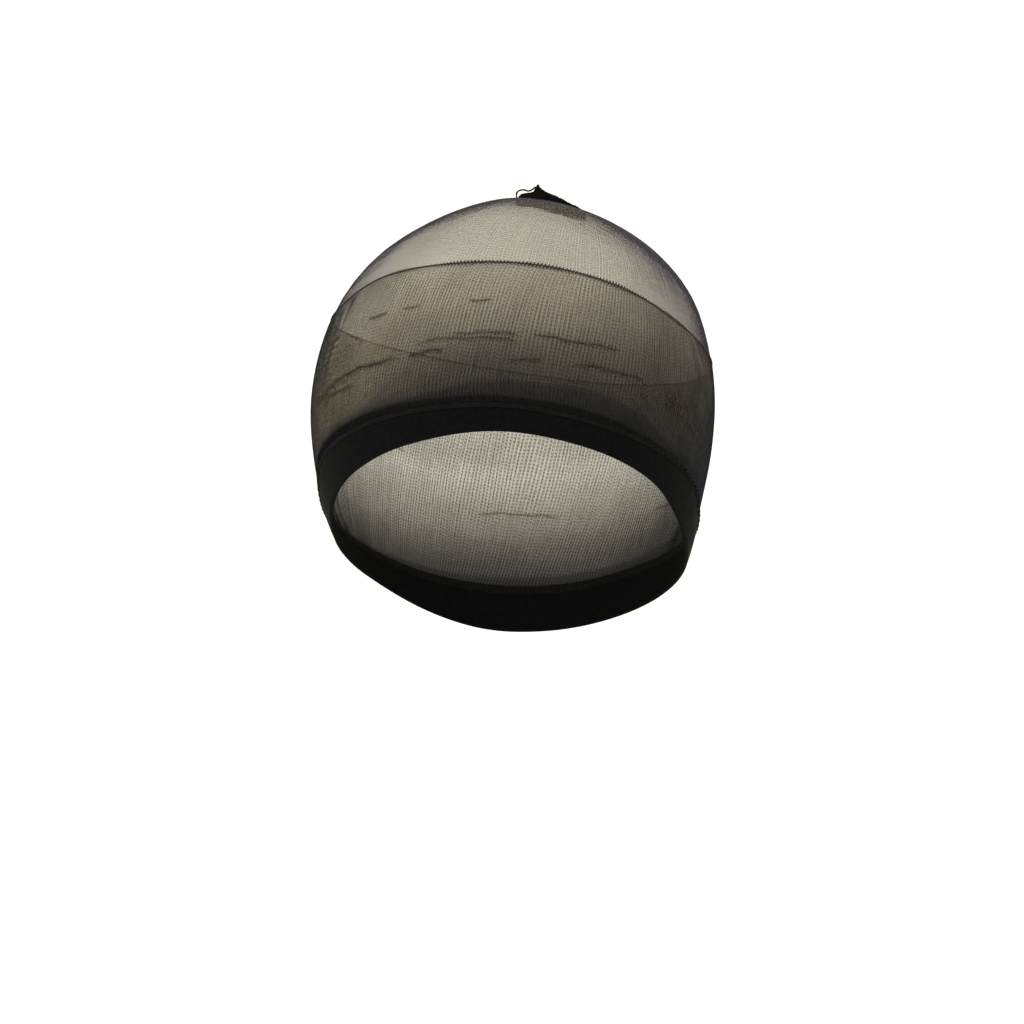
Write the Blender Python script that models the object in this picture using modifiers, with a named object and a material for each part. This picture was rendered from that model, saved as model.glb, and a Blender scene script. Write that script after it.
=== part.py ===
"""Stocking wig cap: sheer knit crown, doubled welt, elastic band and a gathered closure on top.

Metres, +Z up. The front of the cap faces -Y and the wearer's left side is toward +X.
The origin is where the crown rests, on the inside of its top, so the hollow lies below it.
"""

import math
from collections import namedtuple

import bmesh
import bpy
from mathutils import Vector

# Form that the cap is stretched to
CROWN_RADIUS = 0.080
CROWN_HEIGHT = 0.0785
APEX_SHARE = CROWN_HEIGHT / CROWN_RADIUS

# Walls, measured inward from the form, and how far each piece stands out from it
CROWN_WALL = 0.0010
WELT_WALL = 0.0013
SEAM_WALL = 0.0016
BAND_WALL = 0.0016
BAND_RISE = 0.0005
SEAM_RIDGE_RISE = 0.0008
SEAM_RIDGE_WIDTH = 0.0022
COURSE_RADIUS = 0.0006
GAP = 0.0003

# Closure: the tube's end, gathered and sewn, standing on the crown
CLOSURE_DIRECTION = Vector((0.019, 0.011, 0.0783)).normalized()
CLOSURE_SIZE = CROWN_RADIUS / 8
OPENING_LONG = 0.0104
OPENING_SHORT = 0.0031
TUFT_SQUARENESS = 0.6
CLOSURE_LEAN = 0.5
GATHER_COUNT = 18
GATHER_DEPTH = 0.0009
GATHER_REACH = 24.0
THREAD_RADIUS = 0.0003

# Mesh density
SEGMENTS = 72
COURSE_POINTS = 96

CENTRE = Vector((0.0, 0.0, CROWN_WALL - CROWN_HEIGHT))

# Radii of the form from its centre at each elevation, as shares of CROWN_RADIUS
Section = namedtuple("Section", "elevation right left front back")
FORM = [
    Section(-60, 1.300, 1.213, 1.000, 1.425),
    Section(-45, 1.155, 1.139, 1.050, 1.313),
    Section(-30, 1.034, 1.071, 1.088, 1.275),
    Section(-15, 0.981, 1.019, 1.119, 1.269),
    Section(0, 0.965, 0.995, 1.144, 1.269),
    Section(15, 0.971, 0.981, 1.148, 1.260),
    Section(30, 0.991, 0.978, 1.125, 1.213),
    Section(45, 0.989, 0.969, 1.081, 1.138),
    Section(60, 0.979, 0.954, 1.031, 1.060),
    Section(75, 0.975, 0.955, 0.994, 1.004),
    Section(90, APEX_SHARE, APEX_SHARE, APEX_SHARE, APEX_SHARE),
]

# Where each line of the cap lies at each turn about the closure, in degrees from the closure.
# Turn 0 is the right side, 90 the nape, 180 the left side and 270 the forehead.
Lines = namedtuple("Lines", "turn transfer seam_top seam rim")
LINES = [
    Lines(0.0, 66.5, 110.0, 111.0, 121.0),
    Lines(22.5, 67.0, 114.0, 115.5, 125.5),
    Lines(45.0, 68.0, 118.0, 119.5, 130.0),
    Lines(67.5, 70.0, 123.5, 125.0, 135.0),
    Lines(90.0, 72.0, 128.5, 130.0, 140.0),
    Lines(112.5, 74.0, 132.5, 134.0, 143.5),
    Lines(135.0, 76.0, 134.5, 136.0, 145.0),
    Lines(157.5, 78.0, 134.5, 136.0, 145.0),
    Lines(180.0, 80.0, 131.0, 132.5, 142.0),
    Lines(202.5, 80.5, 120.0, 122.5, 134.0),
    Lines(225.0, 74.5, 112.5, 115.0, 125.0),
    Lines(247.5, 71.0, 105.5, 107.5, 115.5),
    Lines(270.0, 67.5, 100.0, 101.8, 108.0),
    Lines(292.5, 66.0, 98.5, 100.3, 106.5),
    Lines(315.0, 67.0, 100.5, 101.3, 109.0),
    Lines(337.5, 67.5, 104.0, 104.6, 115.0),
]

# Rings of each shell: share of the way from its first line to its second, and rise off the form
Ring = namedtuple("Ring", "share rise")
CROWN_RINGS = [Ring(share, 0.0) for share in
               (0.0, 0.04, 0.1, 0.18, 0.27, 0.37, 0.48, 0.59, 0.7, 0.8, 0.9, 1.0)]
WELT_RINGS = [Ring(share, 0.0001) for share in (0.0, 0.17, 0.34, 0.51, 0.68, 0.84, 1.0)]
SEAM_RINGS = [
    Ring(0.0, 0.0001),
    Ring(0.5, 0.0002),
    Ring(0.78, SEAM_RIDGE_RISE),
    Ring(1.0, SEAM_RIDGE_RISE * 0.6),
]
BAND_RINGS = [
    Ring(0.0, BAND_RISE * 0.6),
    Ring(0.12, BAND_RISE),
    Ring(0.5, BAND_RISE),
    Ring(0.88, BAND_RISE),
    Ring(1.0, BAND_RISE * 0.4),
]

# The closure seen from the front, in its own frame and in shares of CLOSURE_SIZE:
# along the gathers, underside, top, half thickness
Tuft = namedtuple("Tuft", "along low high half")
CLOSURE = [
    Tuft(-1.80, -0.10, 0.11, 0.04),
    Tuft(-1.72, -0.10, 0.20, 0.08),
    Tuft(-1.54, -0.07, 0.31, 0.12),
    Tuft(-1.34, -0.04, 0.40, 0.12),
    Tuft(-1.26, -0.03, 0.50, 0.13),
    Tuft(-1.18, -0.02, 0.73, 0.15),
    Tuft(-1.02, 0.00, 0.61, 0.18),
    Tuft(-0.86, -0.14, 0.55, 0.19),
    Tuft(-0.60, -0.14, 0.50, 0.22),
    Tuft(-0.16, -0.10, 0.42, 0.23),
    Tuft(0.20, -0.10, 0.33, 0.22),
    Tuft(0.56, -0.12, 0.26, 0.18),
    Tuft(0.82, -0.14, 0.15, 0.12),
    Tuft(0.94, -0.14, 0.07, 0.07),
]
TUFT_SIDES = 10

# Route of the thread loop in the same frame and shares
Stitch = namedtuple("Stitch", "along height")
THREAD = [
    Stitch(-1.86, -0.12),
    Stitch(-1.87, 0.07),
    Stitch(-1.90, 0.15),
    Stitch(-1.92, 0.23),
    Stitch(-1.91, 0.29),
    Stitch(-1.86, 0.35),
    Stitch(-1.75, 0.41),
    Stitch(-1.63, 0.43),
    Stitch(-1.51, 0.42),
    Stitch(-1.40, 0.46),
    Stitch(-1.32, 0.54),
    Stitch(-1.25, 0.61),
]
THREAD_STEPS = 3


def catmull(before, start, end, after, share):
    """Smooth value between start and end, from the two rows on each side."""
    return 0.5 * (
        2 * start
        + (end - before) * share
        + (2 * before - 5 * start + 4 * end - after) * share**2
        + (3 * start - before - 3 * end + after) * share**3
    )


def form_radius_at(column, elevation):
    """Radius in one of the four directions of FORM at an elevation in degrees."""
    step = FORM[1].elevation - FORM[0].elevation
    place = (elevation - FORM[0].elevation) / step
    row = min(max(int(place), 0), len(FORM) - 2)
    values = [getattr(section, column) for section in FORM]
    before = values[row - 1] if row else 2 * values[0] - values[1]
    after = values[row + 2] if row + 2 < len(values) else values[row]
    return CROWN_RADIUS * catmull(before, values[row], values[row + 1], after, place - row)


def form_radius(direction):
    """Radius of the form along a unit vector: each level is a quarter ellipse per corner."""
    elevation = math.degrees(math.asin(max(-1.0, min(1.0, direction.z))))
    side = form_radius_at("right" if direction.x >= 0 else "left", elevation)
    depth = form_radius_at("back" if direction.y >= 0 else "front", elevation)
    level = math.hypot(direction.x, direction.y)
    if level < 1e-9:
        return side
    return 1.0 / math.hypot(direction.x / level / side, direction.y / level / depth)


UP = CLOSURE_DIRECTION
ALONG = (Vector((1, 0, 0)) - UP * UP.x).normalized()
ACROSS = UP.cross(ALONG)
CLOSURE_POINT = CENTRE + UP * form_radius(UP)


def direction_at(turn, polar):
    """Unit vector at a turn about the closure and an angle from it, both in degrees."""
    turn, polar = math.radians(turn), math.radians(polar)
    flat = ALONG * math.cos(turn) + ACROSS * math.sin(turn)
    return UP * math.cos(polar) + flat * math.sin(polar)


def line_angle(column, turn):
    """Angle from the closure of one of the cap's lines at a turn in degrees."""
    place = (turn % 360.0) / (360.0 / len(LINES))
    row = int(place)
    values = [getattr(LINES[(row + k) % len(LINES)], column) for k in (-1, 0, 1, 2)]
    return catmull(*values, place - row)


def opening_angle(turn):
    """Angle from the closure of the crown's oval opening."""
    angle = math.radians(turn)
    reach = 1.0 / math.hypot(math.cos(angle) / OPENING_LONG, math.sin(angle) / OPENING_SHORT)
    return math.degrees(math.atan2(reach, form_radius(UP)))


def gather(turn, polar):
    """How far the crown sinks between gathers near the closure."""
    fade = max(0.0, 1.0 - polar / GATHER_REACH) ** 1.5
    return -GATHER_DEPTH * fade * 0.5 * (1.0 - math.cos(math.radians(turn) * GATHER_COUNT))


def point_on_form(turn, polar, rise=0.0):
    direction = direction_at(turn, polar)
    return CENTRE + direction * (form_radius(direction) + rise + gather(turn, polar))


def turn_of(index, count):
    return 360.0 * index / count


def angle_of(distance):
    """Angle from the centre that a short distance on the form takes up."""
    return math.degrees(distance / CROWN_RADIUS)


def object_from(name, verts, faces, collection):
    mesh = bpy.data.meshes.new(name)
    mesh.from_pydata(verts, [], faces)
    obj = bpy.data.objects.new(name, mesh)
    collection.objects.link(obj)
    build = bmesh.new()
    build.from_mesh(mesh)
    bmesh.ops.recalc_face_normals(build, faces=build.faces)
    build.to_mesh(mesh)
    build.free()
    mesh.shade_smooth()
    return obj


def shell(name, rings, start, end, wall, collection):
    """Ring-shaped sheet between two lines of the cap, thickened inward."""
    verts = []
    for ring in rings:
        for index in range(SEGMENTS):
            turn = turn_of(index, SEGMENTS)
            polar = start(turn) + (end(turn) - start(turn)) * ring.share
            verts.append(point_on_form(turn, polar, ring.rise))
    faces = []
    for ring in range(len(rings) - 1):
        for index in range(SEGMENTS):
            here = ring * SEGMENTS + index
            beside = ring * SEGMENTS + (index + 1) % SEGMENTS
            faces.append((here, here + SEGMENTS, beside + SEGMENTS, beside))
    mesh = bpy.data.meshes.new(name)
    mesh.from_pydata(verts, [], faces)
    mesh.shade_smooth()
    obj = bpy.data.objects.new(name, mesh)
    collection.objects.link(obj)
    solidify = obj.modifiers.new("wall", "SOLIDIFY")
    solidify.thickness = wall
    solidify.offset = -1.0
    solidify.use_even_offset = True
    return obj


def wire(name, points, radius, cyclic, collection):
    curve = bpy.data.curves.new(name, "CURVE")
    curve.dimensions = "3D"
    curve.bevel_depth = radius
    curve.bevel_resolution = 1
    curve.use_fill_caps = not cyclic
    spline = curve.splines.new("POLY")
    spline.points.add(len(points) - 1)
    for spot, point in zip(spline.points, points):
        spot.co = (*point, 1.0)
    spline.use_cyclic_u = cyclic
    obj = bpy.data.objects.new(name, curve)
    collection.objects.link(obj)
    return obj


def in_closure_frame(along, height, across=0.0):
    """Point of the closure from shares of its size."""
    offset = ALONG * along + ACROSS * (across - CLOSURE_LEAN * height) + UP * height
    return CLOSURE_POINT + offset * CLOSURE_SIZE


def closure_tuft(name, collection):
    """Loft of upright ovals along the gathers, closed at both ends."""
    verts = []
    for row in CLOSURE:
        middle = 0.5 * (row.low + row.high)
        tall = 0.5 * (row.high - row.low)
        for side in range(TUFT_SIDES):
            angle = math.tau * side / TUFT_SIDES
            height = middle + tall * math.sin(angle)
            across = row.half * math.copysign(abs(math.cos(angle)) ** TUFT_SQUARENESS, math.cos(angle))
            verts.append(in_closure_frame(row.along, height, across))
    faces = []
    for row in range(len(CLOSURE) - 1):
        for side in range(TUFT_SIDES):
            here = row * TUFT_SIDES + side
            beside = row * TUFT_SIDES + (side + 1) % TUFT_SIDES
            faces.append((here, beside, beside + TUFT_SIDES, here + TUFT_SIDES))
    last = (len(CLOSURE) - 1) * TUFT_SIDES
    faces.append(tuple(range(TUFT_SIDES)))
    faces.append(tuple(last + side for side in range(TUFT_SIDES)))
    obj = object_from(name, verts, faces, collection)
    rounding = obj.modifiers.new("rounding", "SUBSURF")
    rounding.levels = 1
    rounding.render_levels = 1
    return obj


def thread_points():
    points = []
    for row in range(len(THREAD) - 1):
        rows = [THREAD[min(max(row + k, 0), len(THREAD) - 1)] for k in (-1, 0, 1, 2)]
        for step in range(THREAD_STEPS):
            share = step / THREAD_STEPS
            along = catmull(*(stitch.along for stitch in rows), share)
            height = catmull(*(stitch.height for stitch in rows), share)
            points.append(in_closure_frame(along, height))
    points.append(in_closure_frame(THREAD[-1].along, THREAD[-1].height))
    return points


def material(name, colour, roughness, sheen=0.0):
    made = bpy.data.materials.new(name)
    made.use_nodes = True
    shader = made.node_tree.nodes["Principled BSDF"]
    shader.inputs["Base Color"].default_value = (*colour, 1.0)
    shader.inputs["Roughness"].default_value = roughness
    shader.inputs["Metallic"].default_value = 0.0
    shader.inputs["Sheen Weight"].default_value = sheen
    made.diffuse_color = (*colour, 1.0)
    return made


def dress(obj, colour, roughness, sheen=0.0):
    obj.data.materials.append(material(obj.name, colour, roughness, sheen))


def clear_scene():
    for obj in list(bpy.data.objects):
        bpy.data.objects.remove(obj, do_unlink=True)


def main():
    clear_scene()
    parts = bpy.data.collections.new("wig_cap")
    bpy.context.scene.collection.children.link(parts)

    course_half = angle_of(COURSE_RADIUS + GAP)
    gap = angle_of(GAP)
    ridge_half = angle_of(SEAM_RIDGE_WIDTH / 2)

    crown = shell(
        "sheer_crown", CROWN_RINGS, opening_angle,
        lambda turn: line_angle("transfer", turn) - course_half, CROWN_WALL, parts,
    )
    welt = shell(
        "double_welt", WELT_RINGS,
        lambda turn: line_angle("transfer", turn) + course_half,
        lambda turn: line_angle("seam_top", turn) - gap, WELT_WALL, parts,
    )
    seam = shell(
        "band_seam", SEAM_RINGS,
        lambda turn: line_angle("seam_top", turn),
        lambda turn: line_angle("seam", turn) + ridge_half, SEAM_WALL, parts,
    )
    band = shell(
        "elastic_band", BAND_RINGS,
        lambda turn: line_angle("seam", turn) + ridge_half + gap,
        lambda turn: line_angle("rim", turn), BAND_WALL, parts,
    )
    course_points = []
    for index in range(COURSE_POINTS):
        turn = turn_of(index, COURSE_POINTS)
        depth = -CROWN_WALL / 2
        course_points.append(point_on_form(turn, line_angle("transfer", turn), depth))
    course = wire("transfer_course", course_points, COURSE_RADIUS, True, parts)
    closure = closure_tuft("crown_closure", parts)
    thread = wire("thread_loop", thread_points(), THREAD_RADIUS, False, parts)

    dress(crown, (0.16, 0.14, 0.12), 0.85, 0.3)
    dress(welt, (0.07, 0.06, 0.05), 0.85, 0.3)
    dress(course, (0.03, 0.03, 0.028), 0.8)
    dress(seam, (0.014, 0.014, 0.015), 0.7)
    dress(band, (0.008, 0.008, 0.009), 0.45)
    dress(closure, (0.009, 0.009, 0.010), 0.8)
    dress(thread, (0.01, 0.01, 0.01), 0.6)


main()
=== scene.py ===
import math
from collections import namedtuple

import bpy
import numpy as np
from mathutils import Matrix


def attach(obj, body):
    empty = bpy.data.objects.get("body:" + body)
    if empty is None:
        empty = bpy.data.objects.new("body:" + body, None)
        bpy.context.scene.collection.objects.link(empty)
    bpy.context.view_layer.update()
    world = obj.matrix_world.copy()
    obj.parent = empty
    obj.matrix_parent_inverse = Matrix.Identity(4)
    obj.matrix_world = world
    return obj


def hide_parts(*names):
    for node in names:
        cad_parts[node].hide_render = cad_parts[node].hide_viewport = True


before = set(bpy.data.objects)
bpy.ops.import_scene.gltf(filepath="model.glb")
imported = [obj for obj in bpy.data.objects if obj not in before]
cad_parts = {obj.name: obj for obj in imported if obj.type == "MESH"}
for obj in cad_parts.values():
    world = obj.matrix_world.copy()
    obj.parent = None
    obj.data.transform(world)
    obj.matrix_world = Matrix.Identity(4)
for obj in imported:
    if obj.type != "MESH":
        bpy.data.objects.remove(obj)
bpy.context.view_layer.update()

# Form that the cap is stretched to, in metres: the solids' own, but for a smaller opening at the closure
CROWN_RADIUS = 0.080
CROWN_HEIGHT = 0.0785
CROWN_WALL = 0.0010
CENTRE = np.array((0.0, 0.0, CROWN_WALL - CROWN_HEIGHT))
CLOSURE_DIRECTION = np.array((0.019, 0.011, 0.0783))
OPENING_LONG = 0.0070
OPENING_SHORT = 0.0008
GATHER_COUNT = 18
GATHER_DEPTH = 0.0009
GATHER_REACH = 24.0
GATHER_FADE = 1.5
CLOSURE_LEAN = 0.5

# Radii of the form from its centre at each elevation, as shares of CROWN_RADIUS
APEX = CROWN_HEIGHT / CROWN_RADIUS
Section = namedtuple("Section", "elevation right left front back")
FORM = [
    Section(-60, 1.300, 1.213, 1.000, 1.425),
    Section(-45, 1.155, 1.139, 1.050, 1.313),
    Section(-30, 1.034, 1.071, 1.088, 1.275),
    Section(-15, 0.981, 1.019, 1.119, 1.269),
    Section(0, 0.965, 0.995, 1.144, 1.269),
    Section(15, 0.971, 0.981, 1.148, 1.260),
    Section(30, 0.991, 0.978, 1.125, 1.213),
    Section(45, 0.989, 0.969, 1.081, 1.138),
    Section(60, 0.979, 0.954, 1.031, 1.060),
    Section(75, 0.975, 0.955, 0.994, 1.004),
    Section(90, APEX, APEX, APEX, APEX),
]

# Girth of the form at its mean radius, which is this share of CROWN_RADIUS
MEAN_SHARE = 1.06
MEAN_GIRTH = math.tau * CROWN_RADIUS * MEAN_SHARE

# Where each line of the cap lies at each turn about the closure, in degrees from the closure
Lines = namedtuple("Lines", "turn transfer seam_top seam rim")
LINES = [
    Lines(0.0, 66.5, 110.0, 111.0, 121.0),
    Lines(22.5, 67.0, 114.0, 115.5, 125.5),
    Lines(45.0, 68.0, 118.0, 119.5, 130.0),
    Lines(67.5, 70.0, 123.5, 125.0, 135.0),
    Lines(90.0, 72.0, 128.5, 130.0, 140.0),
    Lines(112.5, 74.0, 132.5, 134.0, 143.5),
    Lines(135.0, 76.0, 134.5, 136.0, 145.0),
    Lines(157.5, 78.0, 134.5, 136.0, 145.0),
    Lines(180.0, 80.0, 131.0, 132.5, 142.0),
    Lines(202.5, 80.5, 120.0, 122.5, 134.0),
    Lines(225.0, 74.5, 112.5, 115.0, 125.0),
    Lines(247.5, 71.0, 105.5, 107.5, 115.5),
    Lines(270.0, 67.5, 100.0, 101.8, 108.0),
    Lines(292.5, 66.0, 98.5, 100.3, 106.5),
    Lines(315.0, 67.0, 100.5, 101.3, 109.0),
    Lines(337.5, 67.5, 104.0, 104.6, 115.0),
]

# Layers of the knit: how deep each lies under the form's surface, in metres
CROWN_DEPTH = -0.0003
CROWN_FILM_DEPTH = -0.0006
WELT_DEPTH = -0.0001
WELT_FILM_DEPTH = -0.0005
WELT_INNER_DEPTH = -0.0010

# Films: points round the cap and down it, and how far their rows crowd toward an edge
FILM_COLUMNS = 180
CROWN_ROWS = 26
CROWN_CROWDING = 1.25
WELT_ROWS = 30
WELT_CROWDING = 1.6

# Wales: a leg stands off its wale's middle by a share of the wale; the inner layer leans, in degrees
WALES = 400
CROWN_LEG_SPREAD = 0.22
WELT_LEG_SPREAD = 0.14
INNER_LEAN = 1.6
WALE_STEPS = 17
WALE_CROWDING = 1.15
YARN_SIDES = 3

# Strays of the legs, in degrees of turn and as a share of their girth, with the seeds of their random draws
WALE_STRAY = 0.07
GIRTH_STRAY = 0.16
STRAY_KNOTS = 7
CROWN_STRAY_SEED = 3
CROWN_GIRTH_SEED = 4
WELT_STRAY_SEED = 5
WELT_GIRTH_SEED = 6

# Slow drift of the wales: reach in degrees, waves round the cap and down it, and its fade at the edges
Drift = namedtuple("Drift", "reach round down start")
DRIFTS = [
    Drift(0.9, 3, 2.2, 0.0),
    Drift(0.5, 7, -3.1, 1.0),
    Drift(0.25, 19, 6, 0.0),
]
DRIFT_EDGE = 8

# Courses: their pitch in the films, and the cross threads, thick near the closure and thin below it
COURSE_PITCH = 0.00125
COURSES = 56
COURSE_START = 0.12
COURSE_STRAY = 0.16
COURSE_SEED = 8
COURSE_LOOSE = 52.0
COURSE_TIGHT = 40.0
COURSE_THIN = 0.000012
COURSE_THICK = 0.000042

# Single knit by angle from the closure: how much of each wale its two legs cover, and the film's opacity
Single = namedtuple("Single", "polar legs film")
SINGLE_KNIT = [
    Single(2, 0.30, 0.62),
    Single(4, 0.23, 0.52),
    Single(7, 0.19, 0.47),
    Single(11, 0.18, 0.44),
    Single(19, 0.18, 0.42),
    Single(26, 0.20, 0.41),
    Single(34, 0.23, 0.41),
    Single(41, 0.24, 0.41),
    Single(46, 0.20, 0.40),
    Single(53, 0.18, 0.38),
    Single(66, 0.18, 0.39),
    Single(82, 0.17, 0.40),
]

# How full the crown's legs are at each turn, as a share of the table above
Fill = namedtuple("Fill", "turn share")
# The legs are fuller from turn 295 to 330 partly as painted shade on the crown's right side.
FILLS = [
    Fill(0, 0.6), Fill(60, 0.45), Fill(100, 0.25), Fill(130, 0.12), Fill(180, 0.12),
    Fill(200, 0.6), Fill(215, 0.95), Fill(236, 0.85), Fill(242, 0.7), Fill(250, 0.7),
    Fill(270, 0.9), Fill(295, 1.05), Fill(306, 1.45), Fill(330, 1.15), Fill(360, 0.7),
]

# Doubled knit by angle above the band, after EASES: outer legs, inner legs and the film's opacity
Double = namedtuple("Double", "above outer inner film")
DOUBLE_KNIT = [
    Double(0.0, 0.26, 0.20, 0.985),
    Double(3.3, 0.26, 0.20, 0.976),
    Double(4.0, 0.24, 0.18, 0.955),
    Double(6.0, 0.22, 0.16, 0.95),
    Double(8.0, 0.21, 0.15, 0.94),
    Double(10.0, 0.20, 0.14, 0.925),
    Double(13.0, 0.19, 0.12, 0.895),
    Double(16.0, 0.18, 0.105, 0.84),
    Double(20.0, 0.175, 0.09, 0.80),
    Double(24.0, 0.17, 0.08, 0.735),
    Double(28.0, 0.17, 0.075, 0.68),
    Double(31.0, 0.175, 0.07, 0.64),
    Double(34.0, 0.19, 0.07, 0.69),
    Double(39.0, 0.25, 0.10, 0.65),
    Double(48.0, 0.20, 0.07, 0.54),
    Double(56.0, 0.15, 0.04, 0.46),
    Double(60.0, 0.15, 0.04, 0.45),
]

# How the doubled knit thins out at each turn: degrees gained at the band, and the pace above it
Ease = namedtuple("Ease", "turn gain pace")
EASES = [
    Ease(0, 0.0, 0.60), Ease(45, 2.0, 0.90), Ease(90, 2.0, 1.00), Ease(180, 8.0, 1.00),
    Ease(200, 23.0, 1.00), Ease(223, 25.0, 0.95), Ease(240, 11.5, 0.86), Ease(252, 4.0, 0.98),
    Ease(264, 0.5, 1.00), Ease(276, 0.0, 0.95), Ease(290, 0.0, 0.76), Ease(305, 2.0, 0.55),
    Ease(320, 5.0, 0.53), Ease(330, 3.4, 0.53), Ease(360, 0.5, 0.60),
]

# Degrees above the band in which the gain comes in, and in which it dies away
EASE_START = 2.0
EASE_REACH = 16.0

# Colour of each knit film by how closed it is
Tone = namedtuple("Tone", "opacity colour")
SINGLE_TONES = [
    Tone(0.40, (0.128, 0.100, 0.056)),
    Tone(0.50, (0.110, 0.092, 0.056)),
    Tone(0.62, (0.070, 0.062, 0.042)),
    Tone(0.85, (0.012, 0.012, 0.012)),
]
DOUBLE_TONES = [
    Tone(0.54, (0.145, 0.108, 0.058)),
    Tone(0.67, (0.100, 0.076, 0.038)),
    Tone(0.76, (0.092, 0.070, 0.036)),
    Tone(0.855, (0.056, 0.044, 0.025)),
    Tone(0.905, (0.038, 0.031, 0.019)),
    Tone(0.945, (0.023, 0.019, 0.013)),
    Tone(0.985, (0.006, 0.0055, 0.005)),
]

# Stitches and patches of the films: sway of the courses, and what the patches add to opacity and colour
FILM_SHEEN_TINT = (0.85, 0.92, 1.0)
SWAY_BY_WALE = 3.6
SWAY_BY_PLACE = 6.0
BROAD_SHARE = 0.5
PATCH_SHADE = 0.05

# Yarns, threads and the elastic: two colours that each drifts between, and how it shines
Yarn = namedtuple("Yarn", "dark light roughness specular sheen", defaults=(0.0,))
YARNS = {
    # The knit yarn's colours are its own near-black made lighter and violet, a painted sheen for the
    # crown's rim; the welt yarn's blue tint is painted sheen too.
    "knit_yarn_painted_sheen": Yarn((0.025, 0.023, 0.034), (0.050, 0.046, 0.066), 0.70, 0.10),
    "welt_yarn_painted_sheen": Yarn((0.010, 0.0115, 0.016), (0.023, 0.026, 0.034), 0.70, 0.05),
    "dense_course": Yarn((0.018, 0.015, 0.011), (0.044, 0.036, 0.026), 0.75, 0.06),
    "seam_thread": Yarn((0.003, 0.0033, 0.0033), (0.007, 0.0075, 0.0072), 0.70, 0.04),
    "gathered_knit": Yarn((0.0026, 0.0026, 0.0026), (0.006, 0.006, 0.006), 0.80, 0.04),
    "elastic": Yarn((0.0018, 0.0020, 0.0022), (0.0032, 0.0035, 0.0038), 0.75, 0.02),
    "sewing_thread": Yarn((0.004, 0.004, 0.004), (0.008, 0.008, 0.008), 0.50, 0.15, 0.03),
}
ROUGHNESS_SWING = 0.12
SHEEN_ROUGHNESS = 0.45

# Most of a noise's values lie between these two
NOISE_LOW = 0.3
NOISE_HIGH = 0.7

# Dense course: one slanted bead a wale, longest in front, over a cord that is thinner at the back
Bead = namedtuple("Bead", "along girth")
BEAD_PROFILE = [Bead(-1.0, 0.35), Bead(-0.7, 0.85), Bead(0.0, 1.0), Bead(0.7, 0.85), Bead(1.0, 0.35)]
BEAD_SIDES = 6
BEAD_LONG = 0.00125
BEAD_WIDE = 0.00034
BEAD_THICK = 0.00034
BEAD_SLANT = -24.0
BEAD_FRONT = 275.0
BEAD_FOCUS = 4
BEAD_SHORT = 0.45
BEAD_DEPTH = 0.0
BEAD_DROP = 0.0003
BEAD_UNEVEN = 0.15
BEAD_WAVE = 7.3
TURN_AHEAD = 0.3
CORD_COLUMNS = 400
CORD_SIDES = 6
CORD_DEPTH = -0.0003
CORD_RADIUS = 0.00025
CORD_THIN = 0.5

# Creases of the doubled knit, raised folds darkened with painted shade: where each starts and ends, its
# bow, half its width and the darkness of its painted shade
Crease = namedtuple("Crease", "turn polar end_turn end_polar bow half dark")
CREASES = [
    Crease(201.0, 109.0, 243.0, 96.0, -1.3, 0.0016, 1.00),
    Crease(209.5, 107.5, 227.5, 103.0, 0.0, 0.0015, 0.75),
    Crease(244.5, 95.5, 254.0, 93.0, -0.5, 0.0015, 0.80),
    Crease(206.5, 92.5, 215.0, 90.5, 0.0, 0.0013, 0.60),
    Crease(228.5, 87.0, 235.5, 85.0, 0.0, 0.0013, 0.85),
    Crease(239.5, 84.5, 245.0, 83.0, 0.0, 0.0011, 0.65),
    Crease(256.5, 80.5, 262.0, 79.5, 0.0, 0.0011, 0.75),
    Crease(246.5, 92.0, 270.5, 87.5, -0.5, 0.0014, 0.62),
    Crease(254.5, 89.0, 270.0, 86.0, -0.2, 0.0013, 0.60),
    Crease(272.0, 85.5, 294.0, 82.5, 0.3, 0.0015, 0.72),
    Crease(282.5, 89.5, 303.0, 87.5, -0.5, 0.0015, 0.78),
    Crease(268.5, 92.0, 276.0, 90.5, 0.0, 0.0014, 0.70),
    Crease(301.0, 90.5, 304.5, 90.5, 0.0, 0.0013, 0.60),
    Crease(309.5, 90.5, 330.0, 93.0, -0.6, 0.0016, 0.95),
    Crease(310.5, 88.5, 322.5, 88.5, 0.0, 0.0015, 0.80),
    Crease(28.0, 101.0, 44.0, 103.0, -0.6, 0.0015, 0.60),
    Crease(74.0, 106.0, 96.0, 110.0, -1.0, 0.0016, 0.60),
    Crease(118.0, 100.0, 131.0, 101.0, -0.5, 0.0015, 0.55),
    Crease(150.0, 112.0, 171.0, 108.0, -0.8, 0.0016, 0.65),
]

# Ribbon of each crease: places across it, its fewest steps, its tapered ends, its height and its ripples
CREASE_ACROSS = np.array((-1.0, -0.6, -0.3, 0.0, 0.3, 0.6, 1.0))
CREASE_STEPS = 8
CREASE_TAPER = 8.0
CREASE_BLUNTNESS = 0.7
CREASE_EDGE = 0.00012
CREASE_BULGE = 0.00022
CREASE_CORE = 0.55
Ripple = namedtuple("Ripple", "reach count start")
CREASE_RIPPLES = [Ripple(0.16, 31, 0), Ripple(0.10, 67, 40)]

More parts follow.
